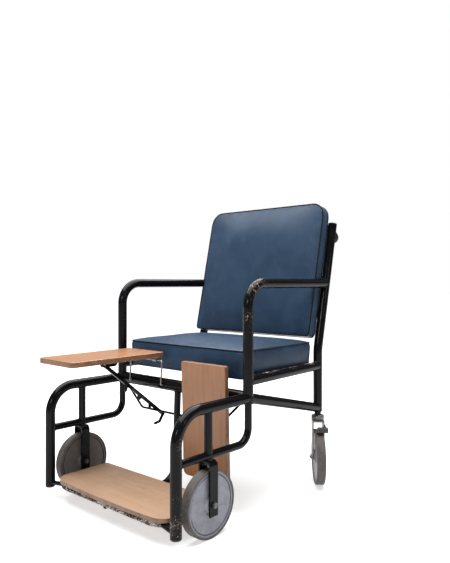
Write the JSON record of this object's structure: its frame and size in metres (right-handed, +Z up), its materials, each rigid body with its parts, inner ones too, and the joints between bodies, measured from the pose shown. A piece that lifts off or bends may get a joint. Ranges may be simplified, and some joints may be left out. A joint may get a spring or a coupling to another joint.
{
  "type": "wheeled hospital chair",
  "caption": "Wheeled tube-frame hospital chair with padded seat and back, hinged leg boards, a footboard, fixed front wheels and braked rear casters.",
  "frame": {"origin": "on the floor, under the middle of the bounding box in the rest pose", "axes": "+Z up, the chair faces -Y, +X towards the occupant's left"},
  "size_m": [0.7388, 0.9412, 1.0092],
  "materials": {
    "frame_enamel": "gloss black stove enamel, chipped at edges",
    "plug_plastic": "black moulded plastic",
    "blue_vinyl": "navy vinyl-coated cloth over foam",
    "plywood": "plain birch plywood",
    "beech": "varnished beech",
    "bright_steel": "bright steel",
    "zinc": "dull zinc plating",
    "tyre_rubber": "worn grey-brown rubber",
    "wheel_plastic": "light grey moulded wheel",
    "bush_steel": "oiled steel"
  },
  "bodies": {
    "frame": {"back_board": "plywood", "back_cushion": "blue_vinyl", "back_straps": "frame_enamel", "caster_cups": "zinc", "caster_stems": "frame_enamel", "catch_bar": "frame_enamel", "centre_post": "frame_enamel", "foot_plugs": "plug_plastic", "footboard": "beech", "footboard_rail": "frame_enamel", "footboard_stubs": "frame_enamel", "front_axle_bolts": "bright_steel", "front_axle_nuts": "bright_steel", "front_crossbar": "frame_enamel", "front_forks": "frame_enamel", "hinge_wires": "bright_steel", "left_arm_tube": "frame_enamel", "left_back_upright": "frame_enamel", "left_front_loop": "frame_enamel", "left_lower_loop": "frame_enamel", "lower_rails": "frame_enamel", "panel_screws": "bright_steel", "push_bar": "frame_enamel", "right_arm_tube": "frame_enamel", "right_back_upright": "frame_enamel", "right_front_loop": "frame_enamel", "right_lower_loop": "frame_enamel", "seat_board": "plywood", "seat_cushion": "blue_vinyl", "seat_rails": "frame_enamel", "seat_straps": "frame_enamel", "upright_plugs": "plug_plastic", "wheel_posts": "frame_enamel"},
    "left_front_wheel": {"left_front_tyre": "tyre_rubber", "left_front_core": "wheel_plastic", "left_front_bush": "bush_steel"},
    "left_caster": {"left_caster_fork": "zinc", "left_caster_axle": "bright_steel"},
    "left_caster_wheel": {"left_caster_tyre": "tyre_rubber", "left_caster_core": "wheel_plastic", "left_caster_bush": "bush_steel"},
    "left_brake": {"left_brake_pedal": "plug_plastic"},
    "left_leg_board": {"left_leg_board": "beech", "left_hinge_clips": "bright_steel", "left_strut_bracket": "frame_enamel"},
    "right_front_wheel": {"right_front_tyre": "tyre_rubber", "right_front_core": "wheel_plastic", "right_front_bush": "bush_steel"},
    "right_caster": {"right_caster_fork": "zinc", "right_caster_axle": "bright_steel"},
    "right_caster_wheel": {"right_caster_tyre": "tyre_rubber", "right_caster_core": "wheel_plastic", "right_caster_bush": "bush_steel"},
    "right_brake": {"right_brake_pedal": "plug_plastic"},
    "right_leg_board": {"right_leg_board": "beech", "right_hinge_clips": "bright_steel", "right_strut_bracket": "frame_enamel", "strut_pin": "bright_steel"},
    "strut": {"ratchet_strut": "frame_enamel"}
  },
  "joints": [
    {"name": "left_front_wheel_spin", "type": "hinge", "parent": "frame", "child": "left_front_wheel", "pos_m": [0.3, -0.27158, 0.095], "axis": [1, 0, 0], "continuous": true},
    {"name": "left_caster_swivel", "type": "hinge", "parent": "frame", "child": "left_caster", "pos_m": [0.284, 0.32042, 0.219], "axis": [0, 0, 1], "continuous": true},
    {"name": "left_caster_wheel_spin", "type": "hinge", "parent": "left_caster", "child": "left_caster_wheel", "pos_m": [0.2991, 0.30176, 0.095], "axis": [0.7771, 0.6293, 0], "continuous": true},
    {"name": "left_brake_tilt", "type": "hinge", "parent": "left_caster", "child": "left_brake", "pos_m": [0.31117, 0.32183, 0.2], "axis": [0.7771, 0.6293, 0], "range_deg": [0, 4]},
    {"name": "right_front_wheel_spin", "type": "hinge", "parent": "frame", "child": "right_front_wheel", "pos_m": [-0.3, -0.27158, 0.095], "axis": [1, 0, 0], "continuous": true},
    {"name": "right_caster_swivel", "type": "hinge", "parent": "frame", "child": "right_caster", "pos_m": [-0.284, 0.32042, 0.219], "axis": [0, 0, 1], "continuous": true},
    {"name": "right_caster_wheel_spin", "type": "hinge", "parent": "right_caster", "child": "right_caster_wheel", "pos_m": [-0.2991, 0.33907, 0.095], "axis": [-0.7771, -0.6293, 0], "continuous": true},
    {"name": "right_brake_tilt", "type": "hinge", "parent": "right_caster", "child": "right_brake", "pos_m": [-0.31117, 0.319, 0.2], "axis": [-0.7771, -0.6293, 0], "range_deg": [0, 4]},
    {"name": "left_leg_board_hinge", "type": "hinge", "parent": "frame", "child": "left_leg_board", "pos_m": [0.15, -0.11733, 0.44475], "axis": [-1, 0, 0], "range_deg": [0, 91.6]},
    {"name": "right_leg_board_hinge", "type": "hinge", "parent": "frame", "child": "right_leg_board", "pos_m": [-0.15, -0.11733, 0.44475], "axis": [1, 0, 0], "range_deg": [0, 60]},
    {"name": "strut_pivot", "type": "hinge", "parent": "right_leg_board", "child": "strut", "pos_m": [-0.13, -0.30788, 0.445], "axis": [1, 0, 0], "range_deg": [-8, 2]}
  ],
  "couplings": [
    {"joint": "strut_pivot", "follows": "right_leg_board_hinge", "ratio": -0.05}
  ]
}
